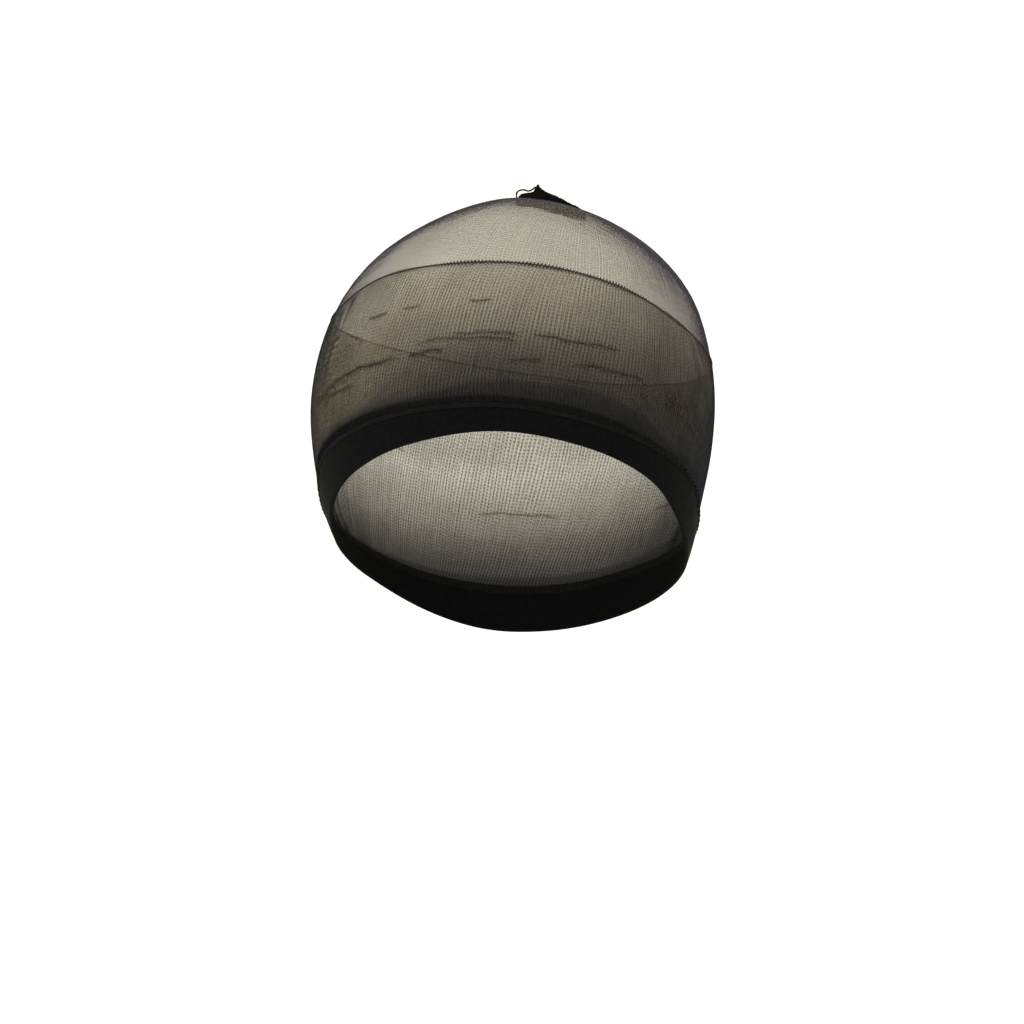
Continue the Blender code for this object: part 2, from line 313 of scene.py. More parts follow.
# Cross sections of the band and the seam's strip: share of the way across, and rise off the form
BAND_RISE = 0.0005
Ring = namedtuple("Ring", "share rise")
BAND_SECTION = [
    Ring(0.0, -0.0010), Ring(0.0, 0.0001), Ring(0.015, 0.00035), Ring(0.06, BAND_RISE),
    Ring(0.18, BAND_RISE), Ring(0.32, BAND_RISE), Ring(0.46, BAND_RISE), Ring(0.60, BAND_RISE),
    Ring(0.74, BAND_RISE), Ring(0.86, BAND_RISE), Ring(0.94, 0.00055), Ring(0.975, 0.00045),
    Ring(0.995, 0.0001), Ring(1.0, -0.0004), Ring(0.99, -0.0009), Ring(0.95, -0.0011),
    Ring(0.75, -0.0011), Ring(0.5, -0.0011), Ring(0.25, -0.0011), Ring(0.0, -0.0010),
]
SEAM_SECTION = [
    Ring(0.0, -0.0010), Ring(0.0, 0.0001), Ring(0.10, 0.0003), Ring(0.30, 0.0004),
    Ring(0.50, 0.0004), Ring(0.66, 0.0005), Ring(0.78, 0.00065), Ring(0.90, 0.0006),
    Ring(1.0, 0.0003), Ring(1.0, -0.0010), Ring(0.5, -0.0012), Ring(0.0, -0.0010),
]
BAND_COLUMNS = 288
BAND_RIPPLE = 0.00012
BAND_RIPPLES = 61
BAND_RIPPLE_REACH = 0.12

# Seam's ridge: a wavy cord, with its sway in degrees and its rise and girth in metres
SEAM_RIDGE_WIDTH = 0.0022
RIDGE_COLUMNS = 960
RIDGE_SIDES = 5
RIDGE_WAVES = 133
RIDGE_SWAY = 0.16
RIDGE_DRIFT = 0.10
RIDGE_DRIFT_WAVES = 37
RIDGE_DRIFT_START = 1
RIDGE_RISE = 0.0007
RIDGE_LIFT = 0.0001
RIDGE_RADIUS = 0.00026
RIDGE_SWELL = 0.00005

# Seam's loops: one thread that zigzags between the cut edge and the ridge
LOOPS = 340
LOOP_STEPS = 6
LOOP_SIDES = 4
LOOP_START = 0.02
LOOP_SPAN = 0.96
LOOP_RISE = 0.0005
LOOP_LIFT = 0.00012
LOOP_RADIUS = 0.00010

# Closure, in shares of CLOSURE_SIZE: along the gathers, underside, top and half thickness
CLOSURE_SIZE = CROWN_RADIUS / 8
Tuft = namedtuple("Tuft", "along low high half")
CLOSURE = [
    Tuft(-1.82, -0.18, 0.16, 0.04),
    Tuft(-1.72, -0.17, 0.26, 0.08),
    Tuft(-1.54, -0.14, 0.34, 0.12),
    Tuft(-1.34, -0.12, 0.40, 0.12),
    Tuft(-1.26, -0.10, 0.50, 0.13),
    Tuft(-1.18, -0.09, 0.73, 0.15),
    Tuft(-1.02, -0.08, 0.61, 0.16),
    Tuft(-0.86, -0.07, 0.55, 0.16),
    Tuft(-0.60, -0.06, 0.50, 0.17),
    Tuft(-0.16, -0.06, 0.42, 0.17),
    Tuft(0.20, -0.06, 0.33, 0.16),
    Tuft(0.56, -0.07, 0.26, 0.14),
    Tuft(0.82, -0.09, 0.15, 0.10),
    Tuft(0.94, -0.10, 0.07, 0.06),
]
TUFT_SIDES = 40
TUFT_STEPS = 79
TUFT_THINNEST = 0.02
TUFT_ROUNDNESS = 0.6

# Closure's pleats and finer wrinkles: depth, number, and how they wind along it
PLEAT_DEPTH = 0.014
PLEATS = 11
PLEAT_SWAY = 3
PLEAT_SWAY_PACE = 7
PLEAT_FULL_HEIGHT = 0.15
WRINKLE_DEPTH = 0.008
WRINKLE_PACE = 52
WRINKLE_TWIST = 2

# Thread loop's route in the closure's frame
Stitch = namedtuple("Stitch", "along height")
THREAD = [
    Stitch(-1.86, -0.12),
    Stitch(-1.87, 0.07),
    Stitch(-1.90, 0.15),
    Stitch(-1.92, 0.23),
    Stitch(-1.91, 0.29),
    Stitch(-1.86, 0.35),
    Stitch(-1.75, 0.41),
    Stitch(-1.63, 0.43),
    Stitch(-1.51, 0.42),
    Stitch(-1.40, 0.46),
    Stitch(-1.32, 0.54),
    Stitch(-1.25, 0.61),
]
THREAD_RADIUS = 0.0003
THREAD_STEPS = 60
THREAD_TWISTS = 14
PLY_OFFSET = 0.55
PLY_RADIUS = 0.85
PLY_SIDES = 6

# Camera at the photograph's viewing angle
CAMERA_PLACE = (-0.00156, -0.858, -0.1206)
CAMERA_LENS = 77.34
CAMERA_SENSOR = 36.0
CAMERA_NEAREST = 0.01

# Studio: slightly warm surroundings, two soft lamps, and a floor of cooler paper that keeps it white
WORLD_COLOUR = (1.0, 0.952, 0.816)
WORLD_STRENGTH = 1.25
Lamp = namedtuple("Lamp", "name place size power")
LAMPS = [
    Lamp("key", (-0.7, -1.0, 0.9), 0.9, 9.0),
    Lamp("top", (0.1, 0.2, 1.3), 1.0, 7.0),
]
LAMP_TARGET = (0.0, 0.0, -0.08)
FLOOR_HEIGHT = -0.27
FLOOR_RADIUS = 6.0
FLOOR_SIDES = 64
FLOOR_COLOUR = (0.96, 0.97, 0.985)

# Keeps the form's top from a division by zero
TINY = 1e-9


# The cap's form

def unit(vectors):
    return vectors / np.linalg.norm(vectors, axis=-1, keepdims=True)


def catmull(before, start, end, after, share):
    """Smooth value between start and end, from the two rows on each side."""
    return 0.5 * (
        2 * start
        + (end - before) * share
        + (2 * before - 5 * start + 4 * end - after) * share**2
        + (3 * start - before - 3 * end + after) * share**3
    )


def form_radius_at(column, elevation):
    """Radius in one of the four directions of FORM at elevations in degrees."""
    values = np.array([getattr(section, column) for section in FORM])
    padded = np.concatenate(([2 * values[0] - values[1]], values, [values[-2]]))
    place = (elevation - FORM[0].elevation) / (FORM[1].elevation - FORM[0].elevation)
    row = np.clip(place.astype(int), 0, len(FORM) - 2)
    rows = (padded[row], padded[row + 1], padded[row + 2], padded[row + 3])
    return CROWN_RADIUS * catmull(*rows, place - row)


def form_radius(direction):
    """Radius of the form along unit vectors: each level is a quarter ellipse per corner."""
    x, y, z = np.moveaxis(direction, -1, 0)
    elevation = np.degrees(np.arcsin(np.clip(z, -1.0, 1.0)))
    side = np.where(x >= 0, form_radius_at("right", elevation), form_radius_at("left", elevation))
    depth = np.where(y >= 0, form_radius_at("back", elevation), form_radius_at("front", elevation))
    level = np.maximum(np.hypot(x, y), TINY)
    return 1.0 / np.hypot(x / level / side, y / level / depth)


UP = unit(CLOSURE_DIRECTION)
ALONG = unit(np.array((1.0, 0.0, 0.0)) - UP * UP[0])
ACROSS = np.cross(UP, ALONG)
CLOSURE_RADIUS = float(form_radius(UP[None])[0])
CLOSURE_POINT = CENTRE + UP * CLOSURE_RADIUS


def direction_at(turn, polar):
    """Unit vectors at turns about the closure and angles from it, both in degrees."""
    turn, polar = np.radians(turn)[..., None], np.radians(polar)[..., None]
    flat = ALONG * np.cos(turn) + ACROSS * np.sin(turn)
    return UP * np.cos(polar) + flat * np.sin(polar)


def line_angle(column, turn):
    """Angle from the closure of one of the cap's lines at turns in degrees."""
    values = np.array([getattr(line, column) for line in LINES])
    place = (turn % 360.0) / (360.0 / len(LINES))
    row = place.astype(int) % len(LINES)
    rows = [values[(row + k) % len(LINES)] for k in (-1, 0, 1, 2)]
    return catmull(*rows, place - place.astype(int))


def opening_angle(turn):
    """Angle from the closure of the crown's oval opening."""
    angle = np.radians(turn)
    reach = 1.0 / np.hypot(np.cos(angle) / OPENING_LONG, np.sin(angle) / OPENING_SHORT)
    return np.degrees(np.arctan2(reach, CLOSURE_RADIUS))


def gather(turn, polar):
    """How far the crown sinks between gathers near the closure."""
    fade = np.maximum(0.0, 1.0 - polar / GATHER_REACH) ** GATHER_FADE
    return -GATHER_DEPTH * fade * 0.5 * (1.0 - np.cos(np.radians(turn) * GATHER_COUNT))


def on_form(turn, polar, rise=0.0):
    """Points on the form, rise metres out from it."""
    direction = direction_at(turn, polar)
    radius = form_radius(direction) + rise + gather(turn, polar)
    return CENTRE + direction * radius[..., None]


def outward(turn, polar, step=0.2, narrowest=0.1):
    """Unit normals of the form, from its slope along and across."""
    beside = turn + step / np.maximum(np.sin(np.radians(polar)), narrowest)
    east = on_form(beside, polar) - on_form(turn, polar)
    south = on_form(turn, polar + step) - on_form(turn, polar)
    return unit(np.cross(south, east))


def angle_of(distance):
    """Angle from the centre that a short distance on the form takes up."""
    return math.degrees(distance / CROWN_RADIUS)


def turns_round(count):
    """Turns in degrees, evenly spaced all round the cap."""
    return 360.0 * np.arange(count) / count


def column_at(table, column, place):
    """One column of a table at places along its first column."""
    return np.interp(place, [row[0] for row in table], [getattr(row, column) for row in table])


def smooth_rows(table, columns, steps):
    """Every column of a table, smoothly filled in."""
    values = np.array([[getattr(row, column) for column in columns] for row in table])
    padded = np.concatenate((values[:1], values, values[-1:]))
    place = np.linspace(0, len(table) - 1, steps)
    row = np.minimum(place.astype(int), len(table) - 2)
    share = (place - row)[:, None]
    return catmull(padded[row], padded[row + 1], padded[row + 2], padded[row + 3], share).T


def in_closure_frame(along, height, across=0.0):
    """Points given in the closure's frame, in shares of CLOSURE_SIZE."""
    along, height, across = (np.asarray(value, float)[..., None] for value in (along, height, across))
    offset = ALONG * along + ACROSS * (across - CLOSURE_LEAN * height) + UP * height
    return CLOSURE_POINT + offset * CLOSURE_SIZE


# Meshes

def piece_from(name, verts, faces, face_uvs, material):
    """Mesh piece with one UV pair for each corner of each face."""
    mesh = bpy.data.meshes.new(name)
    mesh.from_pydata(np.reshape(verts, (-1, 3)).tolist(), [], np.asarray(faces).tolist())
    layer = mesh.uv_layers.new(name="UVMap")
    layer.data.foreach_set("uv", np.asarray(face_uvs, dtype=np.float32).ravel())
    mesh.shade_smooth()
    mesh.materials.append(material)
    obj = bpy.data.objects.new(name, mesh)
    bpy.context.scene.collection.objects.link(obj)
    return obj


def corner_uvs(left, right, top, bottom):
    """UVs of the four corners of each face."""
    return np.stack((left, top, left, bottom, right, bottom, right, top), axis=-1).reshape(-1, 4, 2)


def grid_faces(rows, columns, cyclic, shares=None):
    """Faces and corner UVs of a grid: v down the rows, at their shares, and u along the columns."""
    shares = np.linspace(0.0, 1.0, rows) if shares is None else np.ravel(shares)
    count = columns if cyclic else columns - 1
    row, column = np.meshgrid(np.arange(rows - 1), np.arange(count), indexing="ij")
    beside = (column + 1) % columns
    faces = np.stack((row * columns + column, (row + 1) * columns + column,
                      (row + 1) * columns + beside, row * columns + beside), axis=-1).reshape(-1, 4)
    return faces, corner_uvs(column / count, (column + 1) / count, shares[row], shares[row + 1])


def ring_sheet(name, points, material, shares=None):
    """Single sheet round the cap from rows of points."""
    faces, uvs = grid_faces(points.shape[0], points.shape[1], True, shares)
    return piece_from(name, points, faces, uvs, material)


def add_attribute(obj, name, values):
    attribute = obj.data.attributes.new(name, "FLOAT", "POINT")
    attribute.data.foreach_set("value", np.asarray(values, dtype=np.float32).ravel())


def tubes(name, centres, outs, radii, sides, material, closed=False):
    """Round strands, one row of centres and radii for each: closed rings, or open at the ends."""
    if closed:
        ahead = np.roll(centres, -1, axis=1) - np.roll(centres, 1, axis=1)
    else:
        ahead = np.gradient(centres, axis=1)
    ahead = unit(ahead)
    beside = unit(np.cross(ahead, outs))
    top = np.cross(beside, ahead)
    angles = math.tau * np.arange(sides) / sides + math.pi / 2
    ring = (beside[:, :, None] * np.cos(angles)[:, None] + top[:, :, None] * np.sin(angles)[:, None])
    verts = centres[:, :, None] + ring * radii[:, :, None, None]
    strands, steps = centres.shape[:2]
    strand, step, side = np.meshgrid(np.arange(strands), np.arange(steps if closed else steps - 1),
                                     np.arange(sides), indexing="ij")
    here = (strand * steps + step) * sides
    there = (strand * steps + (step + 1) % steps) * sides
    turned = (side + 1) % sides
    faces = np.stack((here + side, there + side, there + turned, here + turned), axis=-1).reshape(-1, 4)
    left, right = (strand + side / sides) / strands, (strand + (side + 1) / sides) / strands
    uvs = corner_uvs(left, right, step / steps, (step + 1) / steps)
    return piece_from(name, verts, faces, uvs, material)


def ring_cord(name, turn, polar, rise, radii, sides, material):
    """One closed round strand that runs round the cap."""
    centres, outs = on_form(turn, polar, rise)[None], direction_at(turn, polar)[None]
    return tubes(name, centres, outs, radii[None], sides, material, closed=True)


# Materials

class Look:
    """A material with a Principled shader, and short ways to add and link nodes."""

    def __init__(self, name, roughness, specular=0.3, sheen=0.0, sheen_tint=(1, 1, 1), colour=None):
        self.material = bpy.data.materials.new(name)
        self.material.use_nodes = True
        self.tree = self.material.node_tree
        self.shader = self.tree.nodes["Principled BSDF"]
        self.set("Roughness", roughness)
        self.set("Specular IOR Level", specular)
        self.set("Sheen Weight", sheen)
        self.set("Sheen Roughness", SHEEN_ROUGHNESS)
        self.set("Sheen Tint", (*sheen_tint, 1.0))
        if colour:
            self.set("Base Color", (*colour, 1.0))

    def set(self, socket, value):
        self.shader.inputs[socket].default_value = value

    def add(self, kind, **settings):
        node = self.tree.nodes.new(kind)
        for key, value in settings.items():
            setattr(node, key, value)
        return node

    def link(self, source, target):
        self.tree.links.new(source, target)

    def feed(self, source, socket):
        self.link(source, self.shader.inputs[socket])

    def maths(self, operation, first, second=None, third=None, clamp=False):
        node = self.add("ShaderNodeMath", operation=operation, use_clamp=clamp)
        for index, value in enumerate((first, second, third)):
            if value is None:
                continue
            if isinstance(value, (int, float)):
                node.inputs[index].default_value = value
            else:
                self.link(value, node.inputs[index])
        return node.outputs[0]

    def uv(self):
        """u and v of the piece's own UV map."""
        split = self.add("ShaderNodeSeparateXYZ")
        self.link(self.add("ShaderNodeUVMap", uv_map="UVMap").outputs["UV"], split.inputs[0])
        return split.outputs["X"], split.outputs["Y"]

    def noise(self, scale, detail=3.0, stretch=(1, 1, 1)):
        """Noise in object space, with its own stretch."""
        place = self.add("ShaderNodeMapping")
        place.inputs["Scale"].default_value = stretch
        self.link(self.add("ShaderNodeTexCoord").outputs["Object"], place.inputs["Vector"])
        node = self.add("ShaderNodeTexNoise")
        node.inputs["Scale"].default_value = scale
        node.inputs["Detail"].default_value = detail
        self.link(place.outputs["Vector"], node.inputs["Vector"])
        return node.outputs["Fac"]

    def patches(self, **settings):
        """Noise moved so that it lies about zero."""
        return self.maths("SUBTRACT", self.noise(**settings), 0.5)

    def attribute(self, name):
        return self.add("ShaderNodeAttribute", attribute_name=name).outputs["Fac"]

    def ranged(self, source, low, high, from_low=0.0, from_high=1.0):
        node = self.add("ShaderNodeMapRange")
        node.inputs["From Min"].default_value = from_low
        node.inputs["From Max"].default_value = from_high
        node.inputs["To Min"].default_value = low
        node.inputs["To Max"].default_value = high
        self.link(source, node.inputs["Value"])
        return node.outputs["Result"]

    def colours(self, source, *stops):
        """Colour by a value, from (position, colour) stops."""
        node = self.add("ShaderNodeValToRGB")
        ramp = node.color_ramp
        while len(ramp.elements) < len(stops):
            ramp.elements.new(0.5)
        for element, (position, colour) in zip(ramp.elements, stops):
            element.position = position
            element.color = (*colour, 1.0)
        self.link(source, node.inputs["Fac"])
        return node.outputs["Color"]

    def bump(self, source, strength, distance):
        node = self.add("ShaderNodeBump")
        node.inputs["Strength"].default_value = strength
        node.inputs["Distance"].default_value = distance
        self.link(source, node.inputs["Height"])
        self.feed(node.outputs["Normal"], "Normal")


def knit_film(name, tones, lines, dots, mottle, sheen):
    """Fine loops between the wales: opacity from the piece's own density, broken up by stitches."""
    look = Look(name, roughness=0.8, specular=0.06, sheen=sheen, sheen_tint=FILM_SHEEN_TINT)
    u, _ = look.uv()
    across = look.maths("MULTIPLY", u, WALES)
    wave = look.maths("COSINE", look.maths("MULTIPLY", across, math.tau))
    wale = look.maths("FLOOR", look.maths("ADD", across, 0.5))
    offset = look.add("ShaderNodeTexWhiteNoise", noise_dimensions="1D")
    look.link(wale, offset.inputs["W"])
    drift = look.maths("MULTIPLY", look.noise(scale=140.0), SWAY_BY_PLACE)
    sway = look.maths("MULTIPLY_ADD", offset.outputs["Value"], SWAY_BY_WALE, drift)
    row = look.maths("SINE", look.maths("MULTIPLY_ADD", look.attribute("course"), math.tau, sway))
    stitches = look.maths("MULTIPLY", look.maths("MULTIPLY_ADD", wave, 0.5, 0.5), row)
    loops = look.maths("MULTIPLY_ADD", wave, -lines, look.maths("MULTIPLY", stitches, dots))
    fine = look.patches(scale=900.0, detail=4.0, stretch=(1, 1, 0.6))
    broad = look.patches(scale=60.0, stretch=(1, 1, 1.6))
    change = look.maths("MULTIPLY_ADD", fine, mottle, loops)
    change = look.maths("MULTIPLY_ADD", broad, mottle * BROAD_SHARE, change)
    closed = look.attribute("closed")
    passed = look.maths("MULTIPLY", look.maths("SUBTRACT", 1.0, closed), look.maths("ADD", change, 1.0))
    look.feed(look.maths("SUBTRACT", 1.0, passed, clamp=True), "Alpha")
    shade = look.maths("MULTIPLY_ADD", fine, PATCH_SHADE, closed)
    look.feed(look.colours(shade, *tones), "Base Color")
    look.feed(look.ranged(fine, low=0.7, high=0.9, from_low=-0.3, from_high=0.3), "Roughness")
    look.bump(loops, strength=0.3, distance=0.0001)
    return look.material


def strand(name, yarn):
    """Fine yarn: its colour and roughness drift along it, and its surface is finely rough."""
    look = Look(name, yarn.roughness, specular=yarn.specular, sheen=yarn.sheen)
    stops = (NOISE_LOW, yarn.dark), (NOISE_HIGH, yarn.light)
    look.feed(look.colours(look.noise(scale=700.0), *stops), "Base Color")
    smooth, rough = yarn.roughness - ROUGHNESS_SWING, yarn.roughness + ROUGHNESS_SWING
    grain = look.noise(scale=1500.0, detail=2.0)
    look.feed(look.ranged(grain, smooth, rough, NOISE_LOW, NOISE_HIGH), "Roughness")
    look.bump(look.noise(scale=2600.0), strength=0.4, distance=0.00006)
    return look.material


def crease_painted_shade_look(name):
    """Painted shade of a crease: a dark core, partly the pulled courses' denser knit and partly painted
    shade, and soft edges of painted shade across its width, broken up along it.
    """
    look = Look(name, roughness=0.8, specular=0.1)
    u, _ = look.uv()
    aside = look.maths("ABSOLUTE", look.maths("MULTIPLY_ADD", u, 2.0, -1.0))
    core = look.ranged(aside, low=1.0, high=0.0, from_low=0.12, from_high=0.5)
    soft = look.ranged(aside, low=0.50, high=0.0)
    torn = look.noise(scale=260.0, detail=2.0)
    breaks = look.ranged(torn, low=0.75, high=1.15, from_low=0.35, from_high=0.6)
    profile = look.maths("MULTIPLY_ADD", look.maths("MULTIPLY", core, breaks), CREASE_CORE, soft)
    look.feed(look.maths("MULTIPLY", profile, look.attribute("shade"), clamp=True), "Alpha")
    # dark brown colour of the creases' painted shade
    stops = (NOISE_LOW, (0.010, 0.008, 0.005)), (NOISE_HIGH, (0.020, 0.016, 0.010))
    look.feed(look.colours(look.noise(scale=700.0), *stops), "Base Color")
    look.bump(look.noise(scale=1800.0), strength=0.3, distance=0.00008)
    return look.material


# Camera, light and floor

def add_camera():
    data = bpy.data.cameras.new("camera")
    data.sensor_width = CAMERA_SENSOR
    data.lens = CAMERA_LENS
    data.clip_start = CAMERA_NEAREST
    camera = bpy.data.objects.new("camera", data)
    camera.location = CAMERA_PLACE
    camera.rotation_euler = (math.radians(90.0), 0.0, 0.0)
    bpy.context.scene.collection.objects.link(camera)
    bpy.context.scene.camera = camera


def add_lamp(lamp):
    """Round area light turned toward the cap."""
    data = bpy.data.lights.new(lamp.name, "AREA")
    data.shape = "DISK"
    data.size = lamp.size
    data.energy = lamp.power
    light = bpy.data.objects.new(lamp.name, data)
    light.location = lamp.place
    aim = np.subtract(LAMP_TARGET, lamp.place)
    tilt = math.atan2(aim[2], math.hypot(aim[0], aim[1]))
    heading = math.atan2(aim[1], aim[0])
    light.rotation_euler = (math.pi / 2 + tilt, 0.0, heading - math.pi / 2)
    bpy.context.scene.collection.objects.link(light)


def add_studio():
    scene = bpy.context.scene
    scene.view_settings.view_transform = "Standard"
    world = bpy.data.worlds.new("studio")
    world.use_nodes = True
    background = world.node_tree.nodes["Background"]
    background.inputs["Color"].default_value = (*WORLD_COLOUR, 1.0)
    background.inputs["Strength"].default_value = WORLD_STRENGTH
    scene.world = world
    for lamp in LAMPS:
        add_lamp(lamp)
    angles = [math.tau * k / FLOOR_SIDES for k in range(FLOOR_SIDES)]
    verts = [(FLOOR_RADIUS * math.cos(a), FLOOR_RADIUS * math.sin(a), FLOOR_HEIGHT) for a in angles]
    mesh = bpy.data.meshes.new("floor")
    mesh.from_pydata(verts, [], [tuple(range(FLOOR_SIDES))])
    floor = bpy.data.objects.new("floor", mesh)
    scene.collection.objects.link(floor)
    paper = Look("floor_paper", roughness=0.9, specular=0.0, colour=FLOOR_COLOUR)
    mesh.materials.append(paper.material)


# Single and doubled knit

def leg_turns(spread):
    """Turns of every leg of every wale, two a wale, each its spread from the wale's middle."""
    turns = (np.arange(WALES)[:, None] + np.array((-spread, spread))[None]) * 360.0 / WALES
    return turns.ravel()


def stray(count, steps, reach, seed):
    """Small smooth strays of each of count strands along its steps, nothing at its ends."""
    knots = np.random.default_rng(seed).normal(0.0, reach, (count, STRAY_KNOTS))
    knots[:, 0] = knots[:, -1] = 0.0
    place = np.linspace(0, STRAY_KNOTS - 1, steps)
    return np.array([np.interp(place, np.arange(STRAY_KNOTS), row) for row in knots])


def wander(turn, polar):
    """Slow drift of the wales, in degrees of turn, where the knit was pulled on unevenly."""
    t, p = np.radians(turn), np.radians(polar)
    drift = sum(wave.reach * np.sin(wave.round * t + wave.down * p + wave.start) for wave in DRIFTS)
    return drift * np.sin(p) ** 2


def leg_radii(cover, polar, per_wale, seed):
    """Radii of legs that together cover a share of each wale's width, with small strays."""
    pitch = MEAN_GIRTH * np.sin(np.radians(polar)) / WALES
    return 0.5 / per_wale * cover * pitch * (1 + stray(*polar.shape, GIRTH_STRAY, seed))


def courses_below(start, polar):
    """How many courses of knit lie between two angles from the closure."""
    return np.radians(polar - start) * CROWN_RADIUS / COURSE_PITCH


def crown_polar(turn, share):
    """Angles from the closure, at shares of the way from its opening to the transfer line."""
    start, end = opening_angle(turn), line_angle("transfer", turn)
    return start + (end - start) * share


def crown_film(material):
    """Fine mesh of the single knit, with its density and its courses as attributes."""
    share = np.linspace(0.0, 1.0, CROWN_ROWS)[:, None] ** CROWN_CROWDING
    plain = np.tile(turns_round(FILM_COLUMNS), (CROWN_ROWS, 1))
    polar = crown_polar(plain, share)
    turn = plain + wander(plain, polar) * (1 - share**DRIFT_EDGE)
    obj = ring_sheet("crown_film", on_form(turn, polar, CROWN_FILM_DEPTH), material, share)
    add_attribute(obj, "closed", column_at(SINGLE_KNIT, "film", polar))
    add_attribute(obj, "course", courses_below(opening_angle(plain), polar))
    return obj


def crown_wales(material):
    """Two legs of every wale of the single knit, from the closure to the transfer line."""
    legs = leg_turns(CROWN_LEG_SPREAD)
    share = np.linspace(0.0, 1.0, WALE_STEPS)[None] ** WALE_CROWDING
    plain = np.tile(legs[:, None], (1, WALE_STEPS))
    polar = crown_polar(plain, share)
    strays = stray(*polar.shape, WALE_STRAY, CROWN_STRAY_SEED)
    turn = plain + wander(plain, polar) * (1 - share**DRIFT_EDGE) + strays
    centres = on_form(turn, polar, CROWN_DEPTH)
    cover = column_at(SINGLE_KNIT, "legs", polar) * column_at(FILLS, "share", turn % 360.0)
    radii = leg_radii(cover, polar, len(legs) // WALES, CROWN_GIRTH_SEED)
    return tubes("crown_wales", centres, direction_at(turn, polar), radii, YARN_SIDES, material)


def crown_courses(material):
    """Cross threads of the single knit: fine rings round the crown, down to the transfer line."""
    share = np.linspace(COURSE_START, 1.0, COURSES, endpoint=False)[:, None]
    turn = np.tile(turns_round(FILM_COLUMNS), (COURSES, 1))
    strays = np.random.default_rng(COURSE_SEED).normal(0.0, COURSE_STRAY, turn.shape)
    polar = crown_polar(turn, share) + strays
    centres = on_form(turn, polar, CROWN_DEPTH)
    radii = np.interp(polar, (COURSE_TIGHT, COURSE_LOOSE), (COURSE_THICK, COURSE_THIN))
    outs = direction_at(turn, polar)
    return tubes("crown_courses", centres, outs, radii, YARN_SIDES, material, closed=True)


def welt_polar(turn, share):
    """Angles from the closure, at shares of the way from the transfer line to the seam."""
    start, end = line_angle("transfer", turn), line_angle("seam_top", turn)
    return start + (end - start) * share


def welt_turn(turn, share):
    """Turns of the doubled knit's wales after their drift, which fades out at both edges."""
    drift = wander(turn, welt_polar(turn, share))
    return turn + drift * (1 - np.abs(2 * share - 1) ** DRIFT_EDGE)


def nearness(turn, polar):
    """Angle above the band that sets the doubled knit's density, after EASES."""
    above = line_angle("seam_top", turn) - polar
    gain, pace = (column_at(EASES, column, turn % 360.0) for column in ("gain", "pace"))
    above = np.maximum(above, 0.0)
    return above * pace + gain * (1 - np.exp(-above / EASE_START)) * np.exp(-above / EASE_REACH)


def welt_film(material):
    """Fine mesh of the doubled knit, with its density and its courses as attributes."""
    share = 1 - np.linspace(1.0, 0.0, WELT_ROWS)[:, None] ** WELT_CROWDING
    turn = welt_turn(np.tile(turns_round(FILM_COLUMNS), (WELT_ROWS, 1)), share)
    polar = welt_polar(turn, share)
    obj = ring_sheet("welt_film", on_form(turn, polar, WELT_FILM_DEPTH), material, share)
    add_attribute(obj, "closed", column_at(DOUBLE_KNIT, "film", nearness(turn, polar)))
    add_attribute(obj, "course", courses_below(line_angle("transfer", turn), polar))
    return obj


def welt_wales(name, column, depth, lean, legs, material):
    """Legs of one layer of the doubled knit, from the transfer line to the seam."""
    share = np.linspace(0.0, 1.0, WALE_STEPS)[None]
    plain = np.tile(legs[:, None], (1, WALE_STEPS))
    strays = stray(*plain.shape, WALE_STRAY, WELT_STRAY_SEED + len(legs))
    turn = welt_turn(plain, share) + lean * (share - 0.5) + strays
    polar = welt_polar(turn, share)
    cover = column_at(DOUBLE_KNIT, column, nearness(turn, polar))
    radii = leg_radii(cover, polar, len(legs) // WALES, WELT_GIRTH_SEED + len(legs))
    centres, outs = on_form(turn, polar, depth), direction_at(turn, polar)
    return tubes(name, centres, outs, radii, YARN_SIDES, material)


def transfer_beads(material):
    """Slanted loops of the dense course where the doubled knit starts, one a wale, longest in front."""
    turn = (np.arange(WALES) + 0.5) * 360.0 / WALES
    polar = line_angle("transfer", turn) + angle_of(BEAD_DROP)
    centre = on_form(turn, polar, BEAD_DEPTH)
    out = outward(turn, polar)
    beyond = line_angle("transfer", turn + TURN_AHEAD) + angle_of(BEAD_DROP)
    ahead = unit(on_form(turn + TURN_AHEAD, beyond, BEAD_DEPTH) - centre)
    down = unit(np.cross(ahead, out))
    slant = math.radians(BEAD_SLANT)
    long = unit(ahead * math.sin(slant) + down * math.cos(slant))
    wide = np.cross(out, long)
    along = np.array([bead.along for bead in BEAD_PROFILE])[None, :, None, None] * BEAD_LONG
    girth = np.array([bead.girth for bead in BEAD_PROFILE])[:, None]
    front = np.maximum(np.cos(np.radians(turn - BEAD_FRONT)), 0.0) ** BEAD_FOCUS
    share = BEAD_SHORT + (1 - BEAD_SHORT) * front[:, None, None, None]
    size = 1.0 + BEAD_UNEVEN * np.sin(turn * BEAD_WAVE)[:, None, None, None]
    angles = math.tau * np.arange(BEAD_SIDES) / BEAD_SIDES
    verts = centre[:, None, None] + size * (
        long[:, None, None] * along * share
        + wide[:, None, None] * (girth * np.cos(angles) * BEAD_WIDE)[..., None]
        + out[:, None, None] * (girth * np.sin(angles) * BEAD_THICK)[..., None] * share)
    faces, uvs = grid_faces(len(BEAD_PROFILE), BEAD_SIDES, True)
    count = len(BEAD_PROFILE) * BEAD_SIDES
    all_faces = (faces[None] + (np.arange(WALES) * count)[:, None, None]).reshape(-1, 4)
    all_uvs = np.tile(uvs[None], (WALES, 1, 1, 1)).reshape(-1, 4, 2)
    all_uvs[..., 0] = (all_uvs[..., 0] + np.repeat(np.arange(WALES), len(faces))[:, None]) / WALES
    return piece_from("transfer_beads", verts, all_faces, all_uvs, material)


